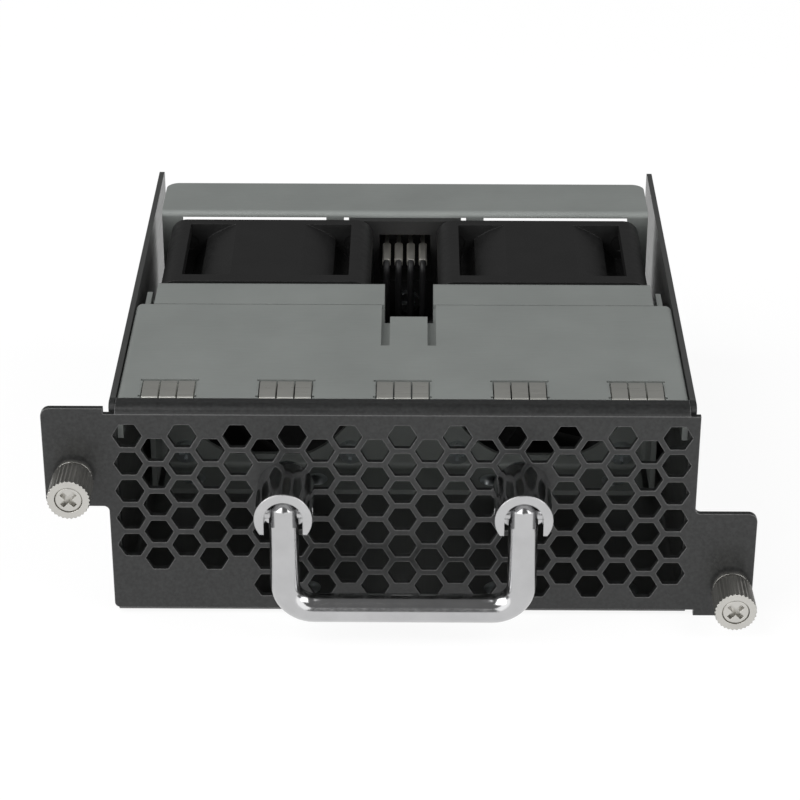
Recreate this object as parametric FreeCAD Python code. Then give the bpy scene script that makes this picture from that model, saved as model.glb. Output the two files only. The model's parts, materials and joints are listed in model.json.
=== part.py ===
import FreeCAD, Part
import math
import os

# Hot-swap fan tray: a perforated front panel on a folded steel tray that carries two axial fans.
# All sizes are in millimetres. X runs across the tray, Y from the front panel to the rear, Z up.
# The pieces are laid out from the panel's front face and saved about the middle of the underside.

# Sheet metal
sheet = 1.0
bend = 1.0
tight_bend = 0.1
fit = 0.1
slip = 0.03
running = 0.05

# Fans
fan_size = 40.0
fan_length = 28.0
fan_gap = 12.8
fan_lift = 0.7
fan_front_flange = 2.8
fan_rear_flange = 2.1
fan_corner = 3.2
fan_saddle_radius = 21.1
fan_notch = 7.3
fan_column = 4.15
fan_barrel_step = 0.2
fan_wall = 1.1
fan_screw_pitch = 32.0
fan_screw_radius = 1.5
fan_screw_head_height = 1.6

# Fan motor, measured from the fan's front face and about its axis
blade_count = 7
blade_tip_gap = 0.5
blade_thickness = 1.0
blade_root_width = 9.0
blade_tip_width = 12.0
blade_front = 3.5
hub_radius = 11.5
hub_wall = 1.0
hub_front = 2.0
hub_front_wall = 1.4
hub_boss_radius = 2.6
hub_boss_length = 2.6
yoke_wall = 0.8
magnet_wall = 1.1
magnet_length = 10.0
air_gap = 0.4
stator_length = 7.0
pole_count = 4
pole_width = 3.0
pole_shoe = 1.2
coil_overhang = 1.0
shaft_radius = 1.5
bearing_radius = 3.0
bearing_width = 2.5
bearing_tube_wall = 0.6
clip_thickness = 0.5
clip_depth = 0.4
board_thickness = 1.0
motor_base_thickness = 2.0
motor_clearance = 1.2
strut_count = 4
strut_width = 2.0
strut_depth = 3.0

# Tray
wall_gap = 3.3
headroom = 0.2
plenum_depth = 50.6
rear_gap = 3.3
rear_flange_length = 14.2
tray_tail = 6.3
tray_tip_radius = 0.8

# Front panel
panel_overhang = 0.7
panel_lip = 3.5
panel_lap = 9.0
panel_corner = 1.0
panel_edge_rise = 1.2
panel_shoulder_drop = 1.4
ear_reach = 11.0
ear_corner = 1.6
ear_fillet = 1.0
ear_relief = 0.9
left_ear_height = 19.45
left_ear_drop = 0.25
right_ear_height = 21.1
hex_pitch = 5.5
hex_web = 1.0
hex_corner = 0.3
hex_top_margin = 5.64
hex_low_margin = 3.0
hex_side_margin = 2.5
label_width = 25.0
label_height = 9.0

# Top cover and its spring clips
cover_gap = 0.05
cover_seam = 0.3
cover_drop = 8.0
cover_corner = 1.5
notch_centre = 0.95
notch_width = 9.95
notch_length = 16.4
tongue_width = 6.85
tongue_length = 11.6
clip_count = 5
clip_pitch = 20.4
clip_width = 9.0
clip_window = 6.9
clip_side_gap = 0.2
clip_relief = 0.4
clip_rear_gap = 1.0
clip_sheet = 0.25
clip_tail = 3.0
clip_rise = 0.35
clip_end_rise = 0.15
clip_bend = 0.3
finger_count = 3
finger_gap = 0.3

# Front bracket
bracket_flange_length = 10.1
bracket_flange_inset = 1.9
bracket_side_gap = 1.5
bracket_side_flange = 11.0
bracket_corner = 1.8
bracket_relief = 3.0
bracket_split_width = 9.1
bracket_split_depth = 14.0
bracket_split_reach = 5.5
bracket_lap = 18.5
aperture_radius = 18.6
aperture_half_height = 17.0

# Rear bracket and connector
rear_side_gap = 1.2
rear_corner = 2.5
window_outer = 44.4
window_inner = 11.2
window_top_drop = 1.15
window_sill = 3.0
tab_gap = 1.0
tab_width = 3.5
tab_height = 2.0
bracket_foot = 8.0
housing_width = 12.0
housing_height = 11.9
housing_length = 15.0
housing_top_drop = 3.3
housing_wall = 0.9
housing_flange_width = 12.6
housing_flange_thickness = 1.5
housing_flange_drop = 7.0
housing_bar_width = 22.0
housing_bar_height = 6.5
housing_recess = 6.0
socket_depth = 7.0
contact_count = 4
contact_pitch = 2.4
contact_height = 8.4
contact_blade = 0.8
crimp_size = 1.6
crimp_length = 7.5
connector_screw_radius = 1.25
connector_screw_head_radius = 2.2
connector_screw_head_height = 1.4
connector_screw_drop = 3.4
connector_screw_shift = 0.8

# Fan leads
wire_radius = 0.65
wire_bend = 1.4
wire_spacing = 1.5

# Handle
handle_pitch = 41.2
handle_height = 26.2
handle_shift = 0.26
post_radius = 5.0
post_length = 11.2
post_slot_width = 6.7
post_chin = 2.95
post_blank_radius = 5.0
post_blank_shift = 0.6
post_blank_drop = 0.8
post_screw_radius = 2.0
post_screw_depth = 4.0
post_screw_head_radius = 3.5
post_screw_head_height = 2.2
pin_radius = 1.0
pin_setback = 2.55
swing_gap = 0.4
bail_radius = 2.55
bail_drop = 19.3
bail_corner = 5.0
bail_end_chamfer = 1.15

# Thumbscrews
left_thumb_offset = 5.9
right_thumb_offset = 7.2
thumb_height = 5.9
knob_radius = 3.75
knob_length = 6.7
knob_taper = 0.12
knob_gap = 1.4
knob_teeth = 30
knurl_depth = 0.25
knob_bore = 3.0
knob_front_wall = 1.9
screw_radius = 1.5
screw_shank_radius = 1.2
screw_head_radius = 2.4
screw_head_chamfer = 0.2
recess_turn = 45.0
screw_travel = 4.5
ferrule_radius = 2.7
ferrule_bore = 2.15
ferrule_collar = 3.3
ferrule_collar_thickness = 0.6
ferrule_shoulder = 0.8
ferrule_gap = 0.8
ring_radius = 2.0
ring_thickness = 0.5
ring_groove = 0.9

# Rivets
rivet_radius = 1.2
rivet_head_radius = 2.2
rivet_head_height = 0.9

# Sizes worked out from the ones above
tray_width = 2 * (sheet + wall_gap + fan_size) + fan_gap
tray_half = tray_width / 2
tray_height = sheet + fan_lift + fan_size + headroom
fan_x = (fan_gap + fan_size) / 2
fan_z = sheet + fan_lift + fan_size / 2
fan_rear = plenum_depth + fan_length
rear_plate = fan_rear + rear_gap
tray_depth = rear_plate + rear_flange_length + tray_tail
panel_half = tray_half + panel_overhang
ear_half = panel_half + ear_reach
floor_front = panel_lap + fit
lap_front = sheet + bend + fit
cover_front = panel_lip + fit
cover_rear = plenum_depth - bracket_flange_length - cover_seam
cover_half = tray_half - sheet - cover_gap
cover_underside = tray_height - sheet
rivet_stack = 2 * sheet
fan_bore = fan_size / 2 - fan_barrel_step - fan_wall
fan_screw_head_radius = (fan_size - fan_screw_pitch) / 2 + min(fan_lift, headroom) - sheet - bend - slip
housing_top = tray_height - housing_top_drop
housing_low = housing_top - housing_height
contact_z = housing_low + contact_height
housing_front = rear_plate - housing_flange_thickness
crimp_front = housing_front - crimp_length
wire_exit = crimp_front - wire_bend - fit - plenum_depth
cup_front = wire_exit - wire_radius
hub_rear = cup_front - motor_clearance
blade_rear = hub_rear - hub_wall
rivet_x = (tray_half / 3, tray_half * 0.8)


def vector(x, y, z):
    return FreeCAD.Vector(x, y, z)


# The plane's point from its two coordinates and depth, and the direction that it is thickened in
PLANES = {
    "front": (lambda u, v, depth: vector(u, depth, v), vector(0, 1, 0)),
    "side": (lambda u, v, depth: vector(depth, u, v), vector(1, 0, 0)),
    "top": (lambda u, v, depth: vector(u, v, depth), vector(0, 0, 1)),
}


def block(x, y, z):
    """A box from its two limits along each axis."""
    low = vector(min(x), min(y), min(z))
    return Part.makeBox(max(x) - min(x), max(y) - min(y), max(z) - min(z), low)


def bar(radius, start, end):
    """A round bar between two points."""
    run = end - start
    return Part.makeCylinder(radius, run.Length, start, run)


def rod(radius, front, rear):
    """A round bar on the Y axis, where fans and thumbscrews are made."""
    return bar(radius, vector(0, front, 0), vector(0, rear, 0))


def ring(outer, inner, front, rear):
    """A round tube on the Y axis."""
    return rod(outer, front, rear).cut(rod(inner, front, rear))


def drilled(radius, place, depth):
    """The space of a round hole that goes rearward from a face at the place."""
    return bar(radius, place - vector(0, fit, 0), place + vector(0, depth + fit, 0))


def joined(shapes):
    return shapes[0].multiFuse(shapes[1:]).removeSplitter()


def corner_points(before, here, after, radius):
    """Where a rounded corner starts, its middle, and where it ends."""
    to_before = (before - here).normalize()
    to_after = (after - here).normalize()
    half_angle = to_before.getAngle(to_after) / 2
    inward = (to_before + to_after).normalize()
    reach = radius / math.tan(half_angle)
    middle = here + inward * (radius / math.sin(half_angle) - radius)
    return here + to_before * reach, middle, here + to_after * reach


def rounded_edges(points, closed):
    """Lines and tangent arcs through points that are each a position and a corner radius."""
    edges = []
    stops = []
    count = len(points)
    for index, (here, radius) in enumerate(points):
        at_end = not closed and index in (0, count - 1)
        if radius == 0 or at_end:
            stops.append((here, here))
            continue
        before = points[index - 1][0]
        after = points[(index + 1) % count][0]
        start, middle, end = corner_points(before, here, after, radius)
        edges.append(Part.Arc(start, middle, end).toShape())
        stops.append((start, end))
    for index in range(count if closed else count - 1):
        start = stops[index][1]
        end = stops[(index + 1) % count][0]
        if start.distanceToPoint(end) > 1e-6:
            edges.append(Part.LineSegment(start, end).toShape())
    return Part.Wire(Part.__sortEdges__(edges))


def plate(corners, plane, start, thickness):
    """A flat plate from its corners, each two coordinates and a radius, thickened from start."""
    place, along = PLANES[plane]
    points = [(place(u, v, start), radius) for u, v, radius in corners]
    return Part.Face(rounded_edges(points, True)).extrude(along * thickness)


def rectangle(u, v, radius=0.0):
    return [(u[0], v[0], radius), (u[1], v[0], radius), (u[1], v[1], radius), (u[0], v[1], radius)]


def folded(path, radius=bend, thickness=sheet):
    """The outline of a folded sheet that lies on the left of an open path."""
    steps = [(b[0] - a[0], b[1] - a[1]) for a, b in zip(path, path[1:])]
    normals = [(-dv / math.hypot(du, dv), du / math.hypot(du, dv)) for du, dv in steps]
    near = []
    far = []
    for index, (u, v) in enumerate(path):
        first = normals[max(index - 1, 0)]
        second = normals[min(index, len(normals) - 1)]
        stretch = thickness / (1 + first[0] * second[0] + first[1] * second[1])
        turn = first[0] * second[1] - first[1] * second[0]
        inner, outer = (0, 0) if turn == 0 else (radius, radius + thickness)
        near.append((u, v, outer if turn > 0 else inner))
        far.append((u + (first[0] + second[0]) * stretch, v + (first[1] + second[1]) * stretch,
                    inner if turn > 0 else outer))
    return near + far[::-1]


def mirrored(x):
    return (-x, x)


def cross_recess(centre, reach, width, depth):
    """A cross-shaped driver recess that goes in along Y from the centre of a screw's head."""
    arms = []
    for half_x, half_z in ((reach, width / 2), (width / 2, reach)):
        arms.append(block((centre.x - half_x, centre.x + half_x), (centre.y, centre.y + depth),
                          (centre.z - half_z, centre.z + half_z)))
    return joined(arms)


def headed_screw(seat, radius, length, head_radius, head_height, facing=-1):
    """A screw along Y whose head lies on its seat and faces the front (-1) or the rear (1)."""
    shank = bar(radius, seat, seat + vector(0, -facing * length, 0))
    crown = seat + vector(0, facing * head_height, 0)
    recess_depth = head_height * 0.6
    recess_start = crown if facing < 0 else crown - vector(0, recess_depth, 0)
    head = bar(head_radius, seat, crown).cut(
        cross_recess(recess_start, head_radius * 0.62, head_radius * 0.3, recess_depth))
    return joined([shank, head])


def rivet(start, inward, stack):
    """A rivet, flush where it starts, whose round head lies on the far side of its stack of sheets."""
    seat = start + inward * stack
    crown_radius = (rivet_head_radius ** 2 + rivet_head_height ** 2) / (2 * rivet_head_height)
    ball = Part.makeSphere(crown_radius, seat + inward * (rivet_head_height - crown_radius))
    head = ball.common(bar(rivet_head_radius * 1.1, seat, seat + inward * rivet_head_height))
    return joined([bar(rivet_radius, start, seat + inward * (rivet_head_height / 2)), head])


def rivet_hole(start, inward, stack):
    return bar(rivet_radius + slip, start - inward * fit, start + inward * (stack + fit))


UP = vector(0, 0, 1)


def floor_points(y):
    return [vector(x, y, 0) for side in (-1, 1) for x in (side * rivet_x[0], side * rivet_x[1])]


def panel_rivet_points():
    return floor_points((lap_front + panel_lap) / 2)


def bracket_rivet_points():
    front_foot = plenum_depth - sheet - bend - bracket_foot / 2
    rear_foot = rear_plate + sheet + bend + bracket_foot / 2
    return floor_points(front_foot) + floor_points(rear_foot)


def cover_rivet_places():
    """Each rivet through a tray wall and the cover's side flange: its start and its direction."""
    third = (cover_rear - cover_front) / 3
    z = tray_height - cover_drop * 0.6
    return [(vector(side * tray_half, cover_front + third * step, z), vector(-side, 0, 0))
            for side in (-1, 1) for step in (1, 2)]


def cover_rivet_stack():
    return tray_half - cover_half + sheet


# Front panel

def thumb_places():
    """The axis of each thumbscrew where it crosses the panel's front face."""
    left_ear_low = tray_height - left_ear_drop - left_ear_height
    return {"left": vector(-panel_half - left_thumb_offset, 0, left_ear_low + thumb_height),
            "right": vector(panel_half + right_thumb_offset, 0, thumb_height)}


def post_places():
    return {"left": vector(handle_shift - handle_pitch / 2, 0, handle_height),
            "right": vector(handle_shift + handle_pitch / 2, 0, handle_height)}


def in_blank_area(x, z):
    """True for a honeycomb cell that would fall in the label area or behind a handle post."""
    if x < label_width - tray_half and z < label_height + hex_pitch / 2 - hex_web:
        return True
    from_post_x = abs(x) - handle_pitch / 2 - post_blank_shift
    from_post_z = z - handle_height + post_blank_drop
    return math.hypot(from_post_x, from_post_z) < post_blank_radius


def honeycomb():
    """Six-sided holes in staggered columns across the panel."""
    column_pitch = hex_pitch * math.cos(math.radians(30))
    half_flats = (hex_pitch - hex_web) / 2
    half_points = half_flats / math.cos(math.radians(30))
    side_columns = int((tray_half - hex_side_margin) / column_pitch)
    cells = []
    for column in range(-side_columns, side_columns + 1):
        x = column * column_pitch
        z = tray_height - hex_top_margin
        if (column + side_columns) % 2:
            z -= hex_pitch / 2
        while z - half_flats > hex_low_margin:
            if not in_blank_area(x, z):
                turns = [math.radians(60 * corner) for corner in range(6)]
                outline = [(x + half_points * math.cos(a), z + half_points * math.sin(a), hex_corner)
                           for a in turns]
                cells.append(plate(outline, "front", -fit, sheet + 2 * fit))
            z -= hex_pitch
    return cells


def make_front_panel():
    ear_top = tray_height - left_ear_drop
    ear_low = ear_top - left_ear_height
    shoulder = tray_height - panel_shoulder_drop
    lip_half = tray_half - sheet - fit
    channel = plate(folded([(panel_lip, tray_height), (0, tray_height), (0, 0), (panel_lap, 0)]),
                    "side", -tray_half, tray_width)
    lip_ends = [block((side * lip_half, side * (tray_half + fit)), (-fit, panel_lip + fit),
                      (cover_underside - bend, tray_height + fit)) for side in (-1, 1)]
    right_relief = panel_half + panel_overhang
    left_relief = -tray_half - ear_relief
    face = plate([
        (-panel_half, panel_edge_rise, panel_corner),
        (right_relief, panel_edge_rise, 0),
        (right_relief, 0, 0),
        (ear_half, 0, ear_corner),
        (ear_half, right_ear_height, ear_corner),
        (panel_half, right_ear_height, ear_fillet),
        (panel_half, shoulder, 0),
        (left_relief, shoulder, 0),
        (left_relief, ear_top, 0),
        (-ear_half, ear_top, ear_corner),
        (-ear_half, ear_low, ear_corner),
        (-panel_half, ear_low, ear_fillet),
    ], "front", 0, sheet)
    cuts = honeycomb()
    cuts += [drilled(ferrule_radius + slip, place, sheet) for place in thumb_places().values()]
    cuts += [drilled(post_screw_radius + slip, place, sheet) for place in post_places().values()]
    cuts += [rivet_hole(point, UP, sheet) for point in panel_rivet_points()]
    return joined([channel.cut(lip_ends), face]).cut(cuts)


# Tray, cover and brackets

def make_tray_base():
    left_top, right_top = (-tray_half, tray_height), (tray_half, tray_height)
    section = folded([left_top, (-tray_half, 0), (tray_half, 0), right_top])
    trough = plate(section, "front", 0, tray_depth)
    wall_front = sheet + fit
    side_outline = plate([
        (wall_front, sheet + fit, bend),
        (floor_front, sheet + fit, 0),
        (floor_front, 0, 0),
        (tray_depth, 0, 0),
        (tray_depth, tray_height, tray_tip_radius),
        (wall_front, tray_height, bend),
    ], "side", -tray_half - fit, tray_width + 2 * fit)
    lap_half = tray_half - sheet - bend - fit
    lap = block(mirrored(lap_half), (lap_front, floor_front + sheet), (sheet, 2 * sheet))
    cuts = [rivet_hole(point, UP, rivet_stack) for point in panel_rivet_points() + bracket_rivet_points()]
    cuts += [rivet_hole(start, inward, sheet) for start, inward in cover_rivet_places()]
    return joined([trough.common(side_outline), lap]).cut(cuts)


def clip_centres():
    first = -(clip_count - 1) / 2
    return [(first + index) * clip_pitch for index in range(clip_count)]


def make_top_cover():
    low = tray_height - cover_drop
    section = folded([(cover_half, low), (cover_half, tray_height), (-cover_half, tray_height),
                      (-cover_half, low)], tight_bend)
    folded_cover = plate(section, "front", cover_front, cover_rear - cover_front)
    plan = plate([
        (-cover_half, cover_front, 0),
        (cover_half, cover_front, 0),
        (cover_half, cover_rear, cover_corner),
        (-cover_half, cover_rear, cover_corner),
    ], "top", low - fit, cover_drop + 2 * fit)
    depth = (cover_underside - fit, tray_height + fit)
    notch_front = cover_rear - notch_length
    notch = block((notch_centre - notch_width / 2, notch_centre + notch_width / 2),
                  (notch_front, cover_rear + fit), depth)
    tongue = block((notch_centre - tongue_width / 2, notch_centre + tongue_width / 2),
                   (notch_front - fit, notch_front + tongue_length), depth)
    half_window = clip_width / 2 + clip_side_gap
    window = (cover_front - fit, cover_front + clip_window)
    cuts = [notch.cut(tongue)]
    for x in clip_centres():
        cuts.append(block((x - half_window, x + half_window), window, depth))
        for y in (cover_front + clip_relief, cover_front + clip_window - 1.5 * clip_relief):
            cuts.append(block((x - half_window - clip_relief, x + half_window + clip_relief),
                              (y, y + 1.75 * clip_relief), depth))
    for start, inward in cover_rivet_places():
        cuts.append(rivet_hole(start, inward, cover_rivet_stack()))
    return folded_cover.common(plan).cut(cuts)


def make_spring_clip(x):
    """A strip of spring fingers: fixed under the cover, folded back at its nose and free at the rear."""
    window_rear = cover_front + clip_window
    nose = cover_front + 2 * fit + clip_sheet
    free_end = window_rear - clip_rear_gap
    level = tray_height - clip_sheet
    outline = folded([
        (window_rear + clip_tail, cover_underside),
        (nose, cover_underside),
        (nose, level),
        (nose + clip_window * 0.3, level + clip_rise * 0.75),
        (free_end - clip_window * 0.14, level + clip_rise),
        (free_end, level + clip_end_rise),
    ], clip_bend, clip_sheet)
    strip = plate(outline, "side", x - clip_width / 2, clip_width)
    pitch = (clip_width + finger_gap) / finger_count
    slits = []
    for index in range(1, finger_count):
        middle = x - clip_width / 2 - finger_gap / 2 + index * pitch
        slits.append(block((middle - finger_gap / 2, middle + finger_gap / 2),
                           (cover_front - clip_window, window_rear + clip_tail / 4),
                           (cover_underside - cover_drop, tray_height + cover_drop)))
    return strip.cut(slits)


def fan_centres():
    return {"left": vector(-fan_x, plenum_depth, fan_z), "right": vector(fan_x, plenum_depth, fan_z)}


def fan_screw_seats():
    """Where each fan screw's head lies on the front face of the front bracket."""
    half = fan_screw_pitch / 2
    return [centre + vector(dx, -sheet, dz)
            for centre in fan_centres().values() for dx in mirrored(half) for dz in mirrored(half)]


def make_front_bracket():
    flange_front = plenum_depth - bracket_flange_length
    foot_front = plenum_depth - sheet - bend - bracket_foot
    half = tray_half - sheet - bracket_side_gap
    flange_half = half - bracket_flange_inset
    profile = plate(folded([(foot_front, sheet), (plenum_depth, sheet), (plenum_depth, tray_height),
                            (flange_front, tray_height)]), "side", -flange_half, 2 * flange_half)
    lap = block(mirrored(flange_half), (flange_front - bracket_lap, flange_front + sheet),
                (cover_underside - sheet, cover_underside))
    side_front = plenum_depth - bracket_side_flange
    side_low = 2 * sheet + bend
    side_top = cover_underside - fit
    corner_low = side_top - bracket_relief
    flange_plan = plate([
        (-flange_half, 0, 0),
        (flange_half, 0, 0),
        (flange_half, plenum_depth, bracket_corner),
        (-flange_half, plenum_depth, bracket_corner),
    ], "top", corner_low, tray_height + fit - corner_low)
    below_flange = block(mirrored(half), (0, plenum_depth), (0, corner_low))
    right_front, left_front = (half, side_front), (-half, side_front)
    section = folded([right_front, (half, plenum_depth), (-half, plenum_depth), left_front])
    sides = plate(section, "top", side_low, side_top - side_low)
    split = block((notch_centre - bracket_split_width / 2, notch_centre + bracket_split_width / 2),
                  (cover_rear - bracket_split_reach, plenum_depth + fit),
                  (tray_height - bracket_split_depth, tray_height + fit))
    cuts = [split]
    for side in (-1, 1):
        cuts.append(block((side * flange_half, side * (half + fit)),
                          (plenum_depth - bracket_relief, plenum_depth + fit),
                          (corner_low, side_top + fit)))
    for centre in fan_centres().values():
        front = vector(centre.x, plenum_depth - sheet - fit, centre.z)
        rear = vector(centre.x, plenum_depth + fit, centre.z)
        level = block((centre.x - aperture_radius, centre.x + aperture_radius), (front.y, rear.y),
                      (centre.z - aperture_half_height, centre.z + aperture_half_height))
        cuts.append(bar(aperture_radius, front, rear).common(level))
    cuts += [drilled(fan_screw_radius + running, seat, sheet) for seat in fan_screw_seats()]
    cuts += [rivet_hole(point, UP, rivet_stack) for point in bracket_rivet_points()]
    return joined([profile.common(joined([flange_plan, below_flange])), lap, sides]).cut(cuts)


def make_rear_bracket():
    half = tray_half - sheet - rear_side_gap
    flange_rear = rear_plate + rear_flange_length
    foot_rear = rear_plate + sheet + bend + bracket_foot
    profile = plate(folded([(flange_rear, tray_height), (rear_plate, tray_height), (rear_plate, sheet),
                            (foot_rear, sheet)], tight_bend), "side", -half, 2 * half)
    plan = plate([
        (-half, rear_plate, 0),
        (half, rear_plate, 0),
        (half, flange_rear, rear_corner),
        (-half, flange_rear, rear_corner),
    ], "top", 0, tray_height + fit)
    through_plate = (rear_plate - fit, rear_plate + sheet + bend)
    window_top = tray_height - window_top_drop
    tab_inner = window_inner + tab_gap
    cuts = []
    for side in (-1, 1):
        window = block((side * window_inner, side * window_outer), through_plate,
                       (2 * sheet + window_sill, window_top))
        tab = block((side * tab_inner, side * (tab_inner + tab_width)), through_plate,
                    (window_top - tab_height, window_top))
        cuts.append(window.cut(tab))
    cuts.append(block(mirrored(housing_width / 2 + slip), through_plate,
                      (housing_low - slip, housing_top + slip)))
    cuts.append(drilled(connector_screw_radius + slip, connector_screw_seat(),
                        housing_flange_thickness + sheet))
    cuts += [rivet_hole(point, UP, rivet_stack) for point in bracket_rivet_points()]
    return profile.common(plan).cut(cuts)


# Connector

def contact_places():
    first = -(contact_count - 1) / 2
    return [(first + index) * contact_pitch for index in range(contact_count)]


def connector_screw_seat():
    return vector(connector_screw_shift, housing_front, housing_low - connector_screw_drop)


def make_connector_housing():
    """A block through the rear bracket, with a flange and a wide bar against the bracket's front.

    The contacts stand in a recess of its front and in a socket of its rear.
    """
    rear = rear_plate + housing_length
    body = block(mirrored(housing_width / 2), (housing_front, rear), (housing_low, housing_top))
    bar_top = tray_height - sheet - 2 * tight_bend
    bar_low = bar_top - housing_bar_height
    flange = block(mirrored(housing_flange_width / 2), (housing_front, rear_plate),
                   (housing_low - housing_flange_drop, bar_low))
    wide_bar = block(mirrored(housing_bar_width / 2), (housing_front, rear_plate), (bar_low, bar_top))
    hollow_ends = [(housing_front - fit, housing_front + housing_recess), (rear - socket_depth, rear + fit)]
    cuts = [block(mirrored(housing_width / 2 - housing_wall), ends,
                  (housing_low + housing_wall, housing_top - housing_wall)) for ends in hollow_ends]
    blade = contact_blade / 2 + slip
    for x in contact_places():
        cuts.append(block((x - blade, x + blade), (housing_front - fit, rear),
                          (contact_z - blade, contact_z + blade)))
    cuts.append(drilled(connector_screw_radius + slip, connector_screw_seat(), housing_flange_thickness))
    return joined([body, flange, wide_bar]).cut(cuts)


def make_connector_contacts():
    """Each contact is a crimp barrel ahead of the housing and a blade through it into the socket."""
    half = crimp_size / 2
    blade_rear_end = rear_plate + housing_length - socket_depth / 4
    contacts = []
    for x in contact_places():
        section = rectangle((x - half, x + half), (contact_z - half, contact_z + half), half / 2)
        crimp = plate(section, "front", crimp_front, crimp_length)
        blade = block((x - contact_blade / 2, x + contact_blade / 2), (housing_front, blade_rear_end),
                      (contact_z - contact_blade / 2, contact_z + contact_blade / 2))
        contacts.append(joined([crimp, blade]))
    return Part.makeCompound(contacts)


def make_connector_screw():
    length = housing_flange_thickness + 2 * sheet
    return headed_screw(connector_screw_seat(), connector_screw_radius, length,
                        connector_screw_head_radius, connector_screw_head_height)


def make_fan_lead(side):
    """The two wires of one fan: out through its barrel, up between the fans and into two crimps."""
    centre = fan_centres()[side]
    outward = 1 if side == "left" else -1
    start_x = centre.x + outward * hub_radius
    run_y = plenum_depth + wire_exit
    pair = contact_places()[:2] if side == "left" else contact_places()[:1:-1]
    wires = []
    for x, lift in zip(pair, (wire_spacing / 2, -wire_spacing / 2)):
        z = fan_z + lift
        corners = [vector(start_x, run_y, z), vector(x, run_y, z), vector(x, run_y, contact_z),
                   vector(x, crimp_front, contact_z)]
        wires.append(wire_along(corners))
    return Part.makeCompound(wires)


def wire_along(corners):
    path = rounded_edges([(corner, wire_bend) for corner in corners], False)
    start = corners[0]
    heading = corners[1] - corners[0]
    section = Part.Wire(Part.makeCircle(wire_radius, start, heading))
    return path.makePipeShell([section], True, False)


# One fan, about the Y axis with its front face at Y = 0

def motor_base_front():
    return fan_length - motor_base_thickness


def bearing_tube_radius():
    return bearing_radius + bearing_tube_wall


def yoke_outer():
    return hub_radius - hub_wall


def magnet_outer():
    return yoke_outer() - yoke_wall


def stator_radius():
    return magnet_outer() - magnet_wall - air_gap


def stator_front():
    return hub_front + hub_front_wall + yoke_wall + motor_clearance + coil_overhang + bearing_width


def turned(shape, count, index):
    copy = shape.copy()
    copy.rotate(vector(0, 0, 0), vector(0, 1, 0), 360.0 * index / count)
    return copy


def spread(shape, count):
    return [turned(shape, count, index) for index in range(count)]


def make_fan_frame():
    half = fan_size / 2
    square = rectangle(mirrored(half), mirrored(half), fan_corner)
    base_front = motor_base_front()
    saddle_half = half - fan_notch
    length = (0, fan_length)
    cross = joined([block(mirrored(saddle_half), length, mirrored(half)),
                    block(mirrored(half), length, mirrored(saddle_half))])
    corner = block((half - fan_column, half), length, (half - fan_column, half))
    columns = plate(square, "front", 0, fan_length).common(joined(spread(corner, 4)))
    outside = joined([
        plate(square, "front", 0, fan_front_flange),
        rod(half - fan_barrel_step, 0, fan_length),
        rod(fan_saddle_radius, 0, fan_length).common(cross),
        columns,
        plate(square, "front", fan_length - fan_rear_flange, fan_rear_flange),
    ])
    shell = outside.cut(rod(fan_bore, -fit, fan_length + fit))
    base = rod(hub_radius, base_front, fan_length)
    cup = ring(hub_radius, hub_radius - hub_wall, cup_front, base_front)
    bearing_tube = ring(bearing_tube_radius(), bearing_radius + slip, front_bearing(), base_front)
    strut = block((hub_radius - hub_wall / 2, fan_bore + fan_wall / 2),
                  (fan_length - strut_depth, fan_length), mirrored(strut_width / 2))
    frame = joined([shell, base, cup, bearing_tube] + spread(strut, strut_count))
    screw_half = fan_screw_pitch / 2
    cuts = [drilled(fan_screw_radius + slip, vector(x, 0, z), fan_length - fan_rear_flange)
            for x in mirrored(screw_half) for z in mirrored(screw_half)]
    for lift in mirrored(wire_spacing / 2):
        inside = vector(fan_bore - fit, wire_exit, lift)
        cuts.append(bar(wire_radius + running, inside, vector(half + fit, wire_exit, lift)))
    return frame.cut(cuts)


def make_impeller():
    wall_inner = hub_radius - hub_wall
    cap_rear = hub_front + hub_front_wall
    boss_rear = cap_rear + hub_boss_length
    hub = [
        rod(hub_radius, hub_front, cap_rear),
        ring(hub_radius, wall_inner, cap_rear, hub_rear),
        rod(hub_boss_radius, cap_rear, boss_rear),
    ]
    tip_radius = fan_bore - blade_tip_gap
    sections = []
    for x, width in ((wall_inner + hub_wall / 2, blade_root_width), (tip_radius, blade_tip_width)):
        corners = [vector(x, blade_front, width / 2), vector(x, blade_front + blade_thickness, width / 2),
                   vector(x, blade_rear, -width / 2), vector(x, blade_rear - blade_thickness, -width / 2)]
        sections.append(Part.makePolygon(corners + corners[:1]))
    blade = Part.makeLoft(sections, True, True).common(rod(tip_radius, 0, fan_length))
    shaft_hole = rod(shaft_radius + slip, shaft_front(), boss_rear)
    return joined(hub + spread(blade, blade_count)).cut(shaft_hole)


def make_rotor_yoke():
    front = hub_front + hub_front_wall
    closed = front + yoke_wall
    outer = yoke_outer() - slip
    disc = ring(outer, hub_boss_radius + slip, front, closed)
    return joined([disc, ring(outer, magnet_outer(), closed, hub_rear - hub_wall)])


def make_rotor_magnet():
    outer = magnet_outer() - slip
    middle = stator_front() + stator_length / 2
    return ring(outer, outer - magnet_wall, middle - magnet_length / 2, middle + magnet_length / 2)


def front_bearing():
    return stator_front() - coil_overhang


def rear_bearing():
    return stator_front() + stator_length + coil_overhang


def clip_front():
    """The clip sits on the shaft just behind the rear bearing."""
    return rear_bearing() + bearing_width + clip_depth


def clip_rear():
    return clip_front() + clip_thickness


def shaft_front():
    return hub_front + hub_front_wall / 2


def make_rotor_shaft():
    groove = ring(shaft_radius + fit, shaft_radius - clip_depth, clip_front() - slip, clip_rear() + slip)
    return rod(shaft_radius, shaft_front(), clip_rear() + 2 * clip_thickness).cut(groove)


def make_shaft_clip():
    return ring(shaft_radius + clip_depth, shaft_radius - clip_depth + slip, clip_front(), clip_rear())


def make_bearings():
    return Part.makeCompound([
        ring(bearing_radius, shaft_radius + running, front, front + bearing_width)
        for front in (front_bearing(), rear_bearing())])


def pole_inner():
    return bearing_tube_radius() + slip


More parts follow.
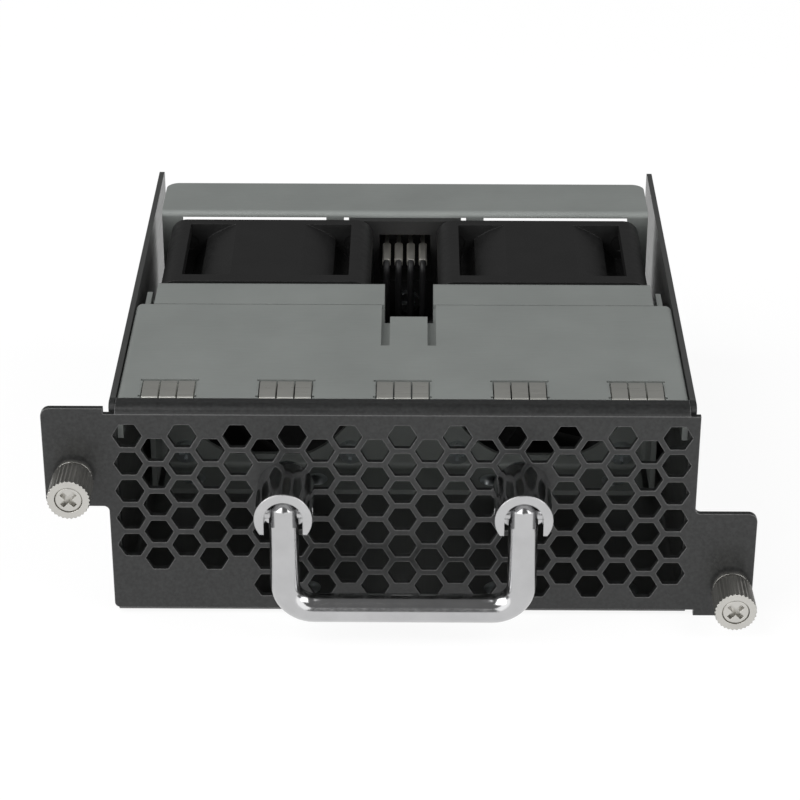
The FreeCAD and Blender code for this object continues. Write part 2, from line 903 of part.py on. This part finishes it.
def make_stator_core():
    front = stator_front()
    rear = front + stator_length
    outer = stator_radius()
    neck = block((pole_inner() + pole_shoe / 2, outer - pole_shoe / 2), (front, rear),
                 mirrored(pole_width / 2))
    shoe = ring(outer, outer - pole_shoe, front, rear).common(
        block((0, outer), (front, rear), mirrored(outer * 0.6)))
    centre = ring(pole_inner() + pole_shoe, pole_inner(), front, rear)
    return joined([centre] + spread(joined([neck, shoe]), pole_count))


def make_stator_coils():
    """Each coil is wound round the neck of one pole."""
    inner = pole_inner() + pole_shoe + 2 * fit
    outer = stator_radius() - 2 * pole_shoe
    front = stator_front()
    rear = front + stator_length
    wrap = block((inner, outer), (front - coil_overhang, rear + coil_overhang),
                 mirrored(pole_width / 2 + coil_overhang))
    neck = block((inner - fit, outer + fit), (front - slip, rear + slip), mirrored(pole_width / 2 + slip))
    return Part.makeCompound(spread(wrap.cut(neck), pole_count))


def make_motor_board():
    rear = motor_base_front() - motor_clearance
    outer = hub_radius - hub_wall - running
    return ring(outer, bearing_tube_radius() + slip, rear - board_thickness, rear)


FAN_PIECES = {
    "fan_frame": make_fan_frame,
    "impeller": make_impeller,
    "rotor_yoke": make_rotor_yoke,
    "rotor_magnet": make_rotor_magnet,
    "rotor_shaft": make_rotor_shaft,
    "shaft_clip": make_shaft_clip,
    "bearings": make_bearings,
    "stator_core": make_stator_core,
    "stator_coils": make_stator_coils,
    "motor_board": make_motor_board,
}


def placed_fan(shape, side):
    """The same fan on both sides, turned over on the right so that both leads come out in the middle."""
    copy = turned(shape, 2, 0 if side == "left" else 1)
    copy.translate(fan_centres()[side])
    return copy


# Handle

def clevis_back():
    """The depth of the slot's back wall: the bail's end swings clear of it."""
    end_reach = math.hypot(bail_radius, bail_radius - bail_end_chamfer)
    return -post_length + pin_setback + end_reach + swing_gap


def pin_point(place):
    return vector(place.x, pin_setback - post_length, place.z)


def make_handle_post(place):
    tip = place - vector(0, post_length, 0)
    slot_back = vector(place.x, clevis_back(), place.z)
    ahead = tip - vector(0, fit, 0)
    along = (ahead.y, slot_back.y)
    half = post_slot_width / 2
    below = (place.z - 2 * post_radius, place.z)
    chin = (below[0], place.z - post_chin)
    pin = pin_point(place)
    across = vector(post_radius, 0, 0)
    cuts = [
        bar(half, slot_back, ahead),
        block((place.x - half, place.x + half), along, below),
        block((place.x - post_radius, place.x + post_radius), along, chin),
        bar(pin_radius + slip, pin - across, pin + across),
        bar(post_screw_radius + slip, place, place - vector(0, post_screw_depth + fit, 0)),
    ]
    return bar(post_radius, place, tip).cut(cuts)


def make_handle_pin(place):
    pin = pin_point(place)
    half = vector(math.sqrt(post_radius ** 2 - pin_radius ** 2) - fit, 0, 0)
    return bar(pin_radius, pin - half, pin + half)


def make_handle_bail():
    left, right = [pin_point(place) for place in post_places().values()]
    drop = vector(0, 0, -bail_drop)
    end_rise = vector(0, 0, bail_radius - bail_end_chamfer)
    corners = [left + end_rise, left + drop, right + drop, right + end_rise]
    path = rounded_edges([(corner, bail_corner) for corner in corners], False)
    section = Part.Wire(Part.makeCircle(bail_radius, corners[0], drop))
    pieces = [path.makePipeShell([section], True, False)]
    tip_radius = bail_radius - bail_end_chamfer
    for end in (corners[0], corners[-1]):
        pieces.append(Part.makeCone(bail_radius, tip_radius, bail_end_chamfer, end, UP))
    across = vector(post_radius, 0, 0)
    holes = [bar(pin_radius + running, pin - across, pin + across) for pin in (left, right)]
    return joined(pieces).cut(holes)


def make_post_screws():
    return Part.makeCompound([
        headed_screw(place + vector(0, sheet, 0), post_screw_radius, sheet + post_screw_depth,
                     post_screw_head_radius, post_screw_head_height, 1)
        for place in post_places().values()])


# Thumbscrews, about the Y axis with the panel's front face at Y = 0

def knob_rear():
    return -knob_gap


def knob_front():
    return -knob_gap - knob_length


def ferrule_front():
    return head_rear() + ferrule_gap


def head_rear():
    return knob_front() + knob_front_wall


def ring_front():
    """The retaining ring rests its travel behind the ferrule's shoulder, with a little to spare."""
    return ferrule_front() + ferrule_shoulder + screw_travel + fit


def ring_rear():
    return ring_front() + ring_thickness


def knob_outline(radius, y):
    """The toothed edge of the knob at one depth."""
    corners = []
    for step in range(2 * knob_teeth):
        reach = radius - (step % 2) * knurl_depth
        angle = math.pi * step / knob_teeth
        corners.append(vector(reach * math.cos(angle), y, reach * math.sin(angle)))
    return Part.makePolygon(corners + corners[:1])


def make_thumb_knob():
    edges = [knob_outline(knob_radius, knob_front()), knob_outline(knob_radius - knob_taper, knob_rear())]
    knurled = Part.makeLoft(edges, True, True)
    hollow = rod(knob_bore, head_rear(), knob_rear() + fit)
    head_hole = rod(screw_head_radius + slip, knob_front() - fit, head_rear())
    return knurled.cut([hollow, head_hole])


def make_thumb_screw():
    """The shank is thinner than the thread, which starts level with the panel's rear face."""
    head_front = knob_front() + fit
    rim = head_front + screw_head_chamfer
    body = joined([
        Part.makeCone(screw_head_radius - screw_head_chamfer, screw_head_radius, screw_head_chamfer,
                      vector(0, head_front, 0), vector(0, 1, 0)),
        rod(screw_head_radius, rim, head_rear()),
        rod(screw_shank_radius, head_rear(), sheet),
        rod(screw_radius, sheet, sheet + screw_travel),
    ])
    groove = ring(screw_radius, ring_groove, ring_front() - running, ring_rear() + running)
    recess = cross_recess(vector(0, head_front, 0), screw_head_radius * 0.7, screw_head_radius * 0.36,
                          knob_front_wall * 0.6)
    recess.rotate(vector(0, 0, 0), vector(0, 1, 0), recess_turn)
    return body.cut([groove, recess])


def make_retaining_ring():
    return ring(ring_radius, ring_groove + running, ring_front(), ring_rear())


def make_ferrule():
    front = ferrule_front()
    body = joined([rod(ferrule_radius, front, sheet), rod(ferrule_collar, -ferrule_collar_thickness, 0)])
    return body.cut([rod(screw_shank_radius + fit, front, sheet),
                     rod(ferrule_bore, front + ferrule_shoulder, sheet)])


THUMB_PIECES = {
    "thumb_knob": make_thumb_knob,
    "thumb_screw": make_thumb_screw,
    "retaining_ring": make_retaining_ring,
    "screw_ferrule": make_ferrule,
}


# Fasteners

def make_fan_screws():
    length = sheet + fan_front_flange
    return Part.makeCompound([
        headed_screw(seat, fan_screw_radius, length, fan_screw_head_radius, fan_screw_head_height)
        for seat in fan_screw_seats()])


def make_rivets(points):
    return Part.makeCompound([rivet(point, UP, rivet_stack) for point in points])


def make_cover_rivets():
    return Part.makeCompound([
        rivet(start, inward, cover_rivet_stack()) for start, inward in cover_rivet_places()])


def all_pieces():
    pieces = {
        "front_panel": make_front_panel(),
        "tray_base": make_tray_base(),
        "top_cover": make_top_cover(),
        "front_bracket": make_front_bracket(),
        "rear_bracket": make_rear_bracket(),
        "connector_housing": make_connector_housing(),
        "connector_contacts": make_connector_contacts(),
        "connector_screw": make_connector_screw(),
        "handle_bail": make_handle_bail(),
        "handle_post_screws": make_post_screws(),
        "fan_screws": make_fan_screws(),
        "panel_rivets": make_rivets(panel_rivet_points()),
        "bracket_rivets": make_rivets(bracket_rivet_points()),
        "cover_rivets": make_cover_rivets(),
    }
    for number, x in enumerate(clip_centres(), 1):
        pieces[f"spring_clip_{number}"] = make_spring_clip(x)
    for name, make in FAN_PIECES.items():
        shape = make()
        for side in ("left", "right"):
            pieces[f"{name}_{side}"] = placed_fan(shape, side)
    for side, place in post_places().items():
        pieces[f"handle_post_{side}"] = make_handle_post(place)
        pieces[f"handle_pin_{side}"] = make_handle_pin(place)
        pieces[f"fan_lead_{side}"] = make_fan_lead(side)
    for name, make in THUMB_PIECES.items():
        shape = make()
        for side, place in thumb_places().items():
            copy = shape.copy()
            copy.translate(place)
            pieces[f"{name}_{side}"] = copy
    return pieces


os.makedirs("parts", exist_ok=True)
to_origin = vector(0, -tray_depth / 2, 0)
for name, shape in all_pieces().items():
    shape.translate(to_origin)
    shape.exportStep(f"parts/{name}.step")
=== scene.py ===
import json
import math

import bpy
from mathutils import Matrix, Vector


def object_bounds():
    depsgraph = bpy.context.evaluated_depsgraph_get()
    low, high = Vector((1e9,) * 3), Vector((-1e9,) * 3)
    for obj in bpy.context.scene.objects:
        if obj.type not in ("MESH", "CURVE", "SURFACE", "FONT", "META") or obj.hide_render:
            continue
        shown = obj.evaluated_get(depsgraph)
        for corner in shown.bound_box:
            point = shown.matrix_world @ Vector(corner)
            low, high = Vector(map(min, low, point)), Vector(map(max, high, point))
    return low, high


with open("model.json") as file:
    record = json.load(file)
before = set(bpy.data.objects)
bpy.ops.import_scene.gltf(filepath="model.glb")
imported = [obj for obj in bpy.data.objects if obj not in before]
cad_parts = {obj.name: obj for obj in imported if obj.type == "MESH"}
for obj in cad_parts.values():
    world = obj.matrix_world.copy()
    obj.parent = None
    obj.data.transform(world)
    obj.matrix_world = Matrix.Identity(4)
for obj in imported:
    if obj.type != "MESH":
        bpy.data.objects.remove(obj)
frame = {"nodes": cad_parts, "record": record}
cad_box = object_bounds()

# Camera, from the even honeycomb of the panel and the tray's symmetry, in metres and degrees
CAMERA_PLACE = (0.0020, -0.4431, 0.2551)
CAMERA_PITCH = 28.355
CAMERA_YAW = 0.355
CAMERA_ROLL = 0.085
FOCAL_PIXELS = 2598.4
IMAGE_PIXELS = 800
SENSOR_WIDTH = 36.0

# Textures are laid out in object coordinates, which are metres here
MM_PER_METRE = 1000.0
X_AXIS = 0
Y_AXIS = 1

# The part of a noise's values that is spread over a whole range
NOISE_START = 0.3
NOISE_END = 0.7

# How far the grain of rolled sheet is drawn out
ROLLING_STRETCH = 0.03

# Rounded edges: their samples, and how alike the rounded and the true normal are on an edge and beside it
EDGE_SAMPLES = 4
EDGE_LIKENESS = 0.74
FACE_LIKENESS = 0.97

PAINT_BLACK = (0.014, 0.0145, 0.0145)
# Painted highlight: a light grey laid on the panel's edges in place of the light that their rounded edges
# catch
EDGE_HIGHLIGHT_GREY = (0.20, 0.20, 0.20)

# Depth at which the paint ends on the tray's walls, and half the width of its soft limit
PAINT_END_MM = -47.4
PAINT_BLUR_MM = 0.4
TRAY_METALLIC = 0.9

# How much of the floor's look is plain white, the rest being lit paint that carries the shadow
FLOOR_WHITE_SHARE = 0.85
FLOOR_GLOW = 1.05
FLOOR_SIZE = 12.0

# Light, in metres
SKY_STRENGTH = 0.18
LAMP_TARGET = (0.0, 0.0, 0.02)


class Finish:
    """A node-based material: a Principled shader whose colour, roughness and bump vary over the surface."""

    def __init__(self, name, colour, roughness, metallic=0.0, edge_mm=0.12):
        self.name = name
        self.colour = colour
        self.material = bpy.data.materials.new(name)
        self.material.use_nodes = True
        self.material.diffuse_color = (*colour, 1.0)
        self.tree = self.material.node_tree
        self.shader = self.tree.nodes["Principled BSDF"]
        self.shader.inputs["Base Color"].default_value = (*colour, 1.0)
        self.shader.inputs["Roughness"].default_value = roughness
        self.shader.inputs["Metallic"].default_value = metallic
        self.coordinates = self.tree.nodes.new("ShaderNodeTexCoord")
        self.edge = self.tree.nodes.new("ShaderNodeBevel")
        self.edge.samples = EDGE_SAMPLES
        self.edge.inputs["Radius"].default_value = edge_mm / MM_PER_METRE
        self.link(self.edge.outputs["Normal"], self.shader.inputs["Normal"])

    def link(self, source, target):
        self.tree.links.new(source, target)

    def noise(self, grain_mm, stretch=(1.0, 1.0, 1.0), detail=4.0):
        """Noise whose grain has about this size, drawn out along an axis where stretch is below 1."""
        mapping = self.tree.nodes.new("ShaderNodeMapping")
        mapping.inputs["Scale"].default_value = [MM_PER_METRE / grain_mm * part for part in stretch]
        self.link(self.coordinates.outputs["Object"], mapping.inputs["Vector"])
        texture = self.tree.nodes.new("ShaderNodeTexNoise")
        texture.inputs["Scale"].default_value = 1.0
        texture.inputs["Detail"].default_value = detail
        self.link(mapping.outputs["Vector"], texture.inputs["Vector"])
        return texture.outputs["Fac"]

    def ranged(self, value, low, high, start=NOISE_START, end=NOISE_END):
        """The value between start and end, mapped to low to high."""
        spread = self.tree.nodes.new("ShaderNodeMapRange")
        spread.inputs["From Min"].default_value = start
        spread.inputs["From Max"].default_value = end
        spread.inputs["To Min"].default_value = low
        spread.inputs["To Max"].default_value = high
        self.link(value, spread.inputs["Value"])
        return spread.outputs["Result"]

    def tint(self, value, low, high):
        """Colour that varies between two multiples of the base colour."""
        ramp = self.tree.nodes.new("ShaderNodeValToRGB")
        stops = zip(ramp.color_ramp.elements, (NOISE_START, NOISE_END), (low, high))
        for element, position, share in stops:
            element.position = position
            element.color = (*[part * share for part in self.colour], 1.0)
        self.link(value, ramp.inputs["Fac"])
        self.link(ramp.outputs["Color"], self.shader.inputs["Base Color"])

    def rough(self, value, low, high):
        """Roughness that varies between two values."""
        self.link(self.ranged(value, low, high), self.shader.inputs["Roughness"])

    def bump(self, value, height_mm, strength):
        """Relief on top of the rounded edges."""
        relief = self.tree.nodes.new("ShaderNodeBump")
        relief.inputs["Strength"].default_value = strength
        relief.inputs["Distance"].default_value = height_mm / MM_PER_METRE
        self.link(value, relief.inputs["Height"])
        self.link(self.edge.outputs["Normal"], relief.inputs["Normal"])
        self.link(relief.outputs["Normal"], self.shader.inputs["Normal"])

    def cover(self, mask, colour):
        """Another colour wherever the mask is 1."""
        mix = self.tree.nodes.new("ShaderNodeMixRGB")
        mix.inputs["Color2"].default_value = (*colour, 1.0)
        self.link(mask, mix.inputs["Fac"])
        base = self.shader.inputs["Base Color"]
        self.link(base.links[0].from_socket, mix.inputs["Color1"])
        self.link(mix.outputs["Color"], base)

    def near_edges(self):
        """A mask that rises towards the sharp edges, where the rounded normal leaves the face's own."""
        face = self.tree.nodes.new("ShaderNodeNewGeometry")
        likeness = self.tree.nodes.new("ShaderNodeVectorMath")
        likeness.operation = "DOT_PRODUCT"
        self.link(self.edge.outputs["Normal"], likeness.inputs[0])
        self.link(face.outputs["Normal"], likeness.inputs[1])
        return self.ranged(likeness.outputs["Value"], 1.0, 0.0, EDGE_LIKENESS, FACE_LIKENESS)

    def ahead_of(self, y_mm, blur_mm):
        """A mask that is 1 in front of this depth, with a soft limit."""
        axes = self.tree.nodes.new("ShaderNodeSeparateXYZ")
        self.link(self.coordinates.outputs["Object"], axes.inputs["Vector"])
        start = (y_mm - blur_mm) / MM_PER_METRE
        end = (y_mm + blur_mm) / MM_PER_METRE
        return self.ranged(axes.outputs["Y"], 1.0, 0.0, start, end)


def powder_coat():
    """Black satin powder coat with a fine orange peel, and a painted highlight along its edges."""
    finish = Finish("panel_black", PAINT_BLACK, roughness=0.36, edge_mm=0.3)
    finish.tint(finish.noise(grain_mm=0.6, detail=5.0), low=0.55, high=1.45)
    finish.rough(finish.noise(grain_mm=2.5), low=0.30, high=0.40)
    # Painted highlight: the edges are lightened in colour to stand for light caught on them
    finish.cover(finish.near_edges(), EDGE_HIGHLIGHT_GREY)
    finish.bump(finish.noise(grain_mm=0.35, detail=2.0), height_mm=0.03, strength=0.5)
    return finish


def rolled_sheet(name, colour, roughness, metallic, grain_axis):
    """Plated steel sheet with the faint grain of rolling along one axis."""
    finish = Finish(name, colour, roughness, metallic)
    stretch = [1.0, 1.0, 1.0]
    stretch[grain_axis] = ROLLING_STRETCH
    grain = finish.noise(grain_mm=0.16, stretch=stretch, detail=3.0)
    finish.tint(finish.noise(grain_mm=14.0, detail=6.0), low=0.94, high=1.06)
    finish.rough(grain, low=roughness - 0.07, high=roughness + 0.07)
    finish.bump(grain, height_mm=0.006, strength=0.30)
    return finish


def moulded_plastic(name, colour, roughness):
    """Plastic, or a like dull surface, with a fine moulded texture."""
    finish = Finish(name, colour, roughness, edge_mm=0.2)
    finish.tint(finish.noise(grain_mm=6.0), low=0.85, high=1.15)
    finish.rough(finish.noise(grain_mm=1.6), low=roughness - 0.06, high=roughness + 0.08)
    finish.bump(finish.noise(grain_mm=0.18, detail=2.0), height_mm=0.010, strength=0.4)
    return finish


def plated_metal(name, colour, roughness, edge_mm=0.15):
    """Bare or plated metal with slight marks of polishing."""
    finish = Finish(name, colour, roughness, metallic=1.0, edge_mm=edge_mm)
    finish.tint(finish.noise(grain_mm=5.0), low=0.95, high=1.05)
    finish.rough(finish.noise(grain_mm=1.0), low=roughness - 0.03, high=roughness + 0.05)
    finish.bump(finish.noise(grain_mm=0.5), height_mm=0.002, strength=0.15)
    return finish


def tray_sheet():
    """Zinc-plated tray whose front edges took some of the panel's paint."""
    finish = rolled_sheet("tray_zinc", (0.17, 0.173, 0.17), 0.42, TRAY_METALLIC, Y_AXIS)
    mask = finish.ahead_of(PAINT_END_MM, PAINT_BLUR_MM)
    metallic = finish.ranged(mask, low=TRAY_METALLIC, high=0.0, start=0.0, end=1.0)
    finish.link(metallic, finish.shader.inputs["Metallic"])
    finish.cover(mask, PAINT_BLACK)
    return finish


def make_finishes():
    """All finishes by the name of their slot."""
    finishes = [
        powder_coat(),
        tray_sheet(),
        rolled_sheet("cover_grey", (0.252, 0.268, 0.258), 0.52, 0.3, X_AXIS),
        rolled_sheet("spring_steel", (0.64, 0.64, 0.60), 0.34, 0.9, X_AXIS),
        moulded_plastic("fan_black", (0.005, 0.005, 0.005), 0.48),
        moulded_plastic("housing_black", (0.016, 0.016, 0.016), 0.5),
        plated_metal("motor_steel", (0.42, 0.42, 0.43), 0.35),
        moulded_plastic("magnet_dark", (0.05, 0.05, 0.055), 0.6),
        plated_metal("bearing_steel", (0.65, 0.65, 0.66), 0.18),
        plated_metal("coil_copper", (0.72, 0.36, 0.18), 0.30),
        moulded_plastic("board_green", (0.03, 0.16, 0.07), 0.35),
        moulded_plastic("lead_black", (0.010, 0.010, 0.011), 0.5),
        plated_metal("contact_tin", (0.80, 0.78, 0.72), 0.40),
        plated_metal("handle_chrome", (0.48, 0.48, 0.485), 0.12, edge_mm=0.3),
        plated_metal("post_chrome", (0.50, 0.50, 0.505), 0.16, edge_mm=0.3),
        plated_metal("knob_nickel", (0.54, 0.53, 0.50), 0.36),
        plated_metal("fastener_zinc", (0.48, 0.51, 0.52), 0.30),
    ]
    return {finish.name: finish for finish in finishes}


def dress_nodes():
    """Gives each CAD node the finish of its slot in the record, and the handle's posts and pins chrome."""
    finishes = make_finishes()
    slots = {part["node"]: part["material_slot"] for part in frame["record"]["subparts"]}
    for side in ("left", "right"):
        slots[f"handle_pin_{side}"] = "handle_chrome"
        slots[f"handle_post_{side}"] = "post_chrome"
    for name, node in frame["nodes"].items():
        node.data.materials.clear()
        node.data.materials.append(finishes[slots[name]].material)


def white_to_the_eye(material):
    """Near white to the camera and in reflections, with a trace of the shadow, and pale to other light."""
    tree = material.node_tree
    shader = tree.nodes["Principled BSDF"]
    paths = tree.nodes.new("ShaderNodeLightPath")
    seen = paths.outputs["Is Camera Ray"]
    for other in ("Is Glossy Ray", "Is Transmission Ray"):
        either = tree.nodes.new("ShaderNodeMath")
        either.operation = "MAXIMUM"
        tree.links.new(seen, either.inputs[0])
        tree.links.new(paths.outputs[other], either.inputs[1])
        seen = either.outputs[0]
    share = tree.nodes.new("ShaderNodeMath")
    share.operation = "MULTIPLY"
    share.inputs[1].default_value = FLOOR_WHITE_SHARE
    tree.links.new(seen, share.inputs[0])
    white = tree.nodes.new("ShaderNodeEmission")
    white.inputs["Strength"].default_value = FLOOR_GLOW
    mix = tree.nodes.new("ShaderNodeMixShader")
    tree.links.new(share.outputs[0], mix.inputs["Fac"])
    tree.links.new(shader.outputs["BSDF"], mix.inputs[1])
    tree.links.new(white.outputs["Emission"], mix.inputs[2])
    tree.links.new(mix.outputs["Shader"], tree.nodes["Material Output"].inputs["Surface"])


def make_floor():
    bpy.ops.mesh.primitive_plane_add(size=FLOOR_SIZE, location=(0.0, 0.0, cad_box[0][2]))
    floor = bpy.context.object
    floor.name = "floor"
    paint = Finish("floor_white", (0.9, 0.9, 0.9), roughness=0.8)
    white_to_the_eye(paint.material)
    floor.data.materials.append(paint.material)


def area_light(name, place, size, watts):
    """A rectangular lamp that faces the tray."""
    light = bpy.data.lights.new(name, "AREA")
    light.shape = "RECTANGLE"
    light.size, light.size_y = size
    light.energy = watts
    lamp = bpy.data.objects.new(name, light)
    lamp.location = place
    lamp.rotation_euler = (Vector(LAMP_TARGET) - Vector(place)).to_track_quat("-Z", "Y").to_euler()
    bpy.context.scene.collection.objects.link(lamp)


def make_studio():
    make_floor()
    world = bpy.data.worlds.new("studio")
    bpy.context.scene.world = world
    world.use_nodes = True
    sky = world.node_tree.nodes["Background"]
    sky.inputs["Color"].default_value = (1.0, 1.0, 1.0, 1.0)
    sky.inputs["Strength"].default_value = SKY_STRENGTH
    area_light("key_left", place=(-0.75, -0.35, 0.80), size=(1.1, 1.1), watts=11.2)
    area_light("key_right", place=(0.85, -0.25, 0.75), size=(0.8, 0.8), watts=5.4)
    area_light("low_left", place=(-0.70, -0.95, 0.25), size=(1.4, 0.8), watts=5.2)
    area_light("low_right", place=(0.70, -0.95, 0.25), size=(1.4, 0.8), watts=5.2)


def make_camera():
    data = bpy.data.cameras.new("camera")
    data.sensor_width = SENSOR_WIDTH
    data.lens = FOCAL_PIXELS / IMAGE_PIXELS * SENSOR_WIDTH
    camera = bpy.data.objects.new("camera", data)
    bpy.context.scene.collection.objects.link(camera)
    turn = Matrix.Rotation(math.radians(CAMERA_YAW), 4, "Z")
    tilt = Matrix.Rotation(math.radians(90.0 - CAMERA_PITCH), 4, "X")
    roll = Matrix.Rotation(math.radians(CAMERA_ROLL), 4, "Z")
    camera.matrix_world = Matrix.Translation(CAMERA_PLACE) @ turn @ tilt @ roll
    bpy.context.scene.camera = camera


dress_nodes()
make_studio()
make_camera()
bpy.context.scene.view_settings.view_transform = "Standard"
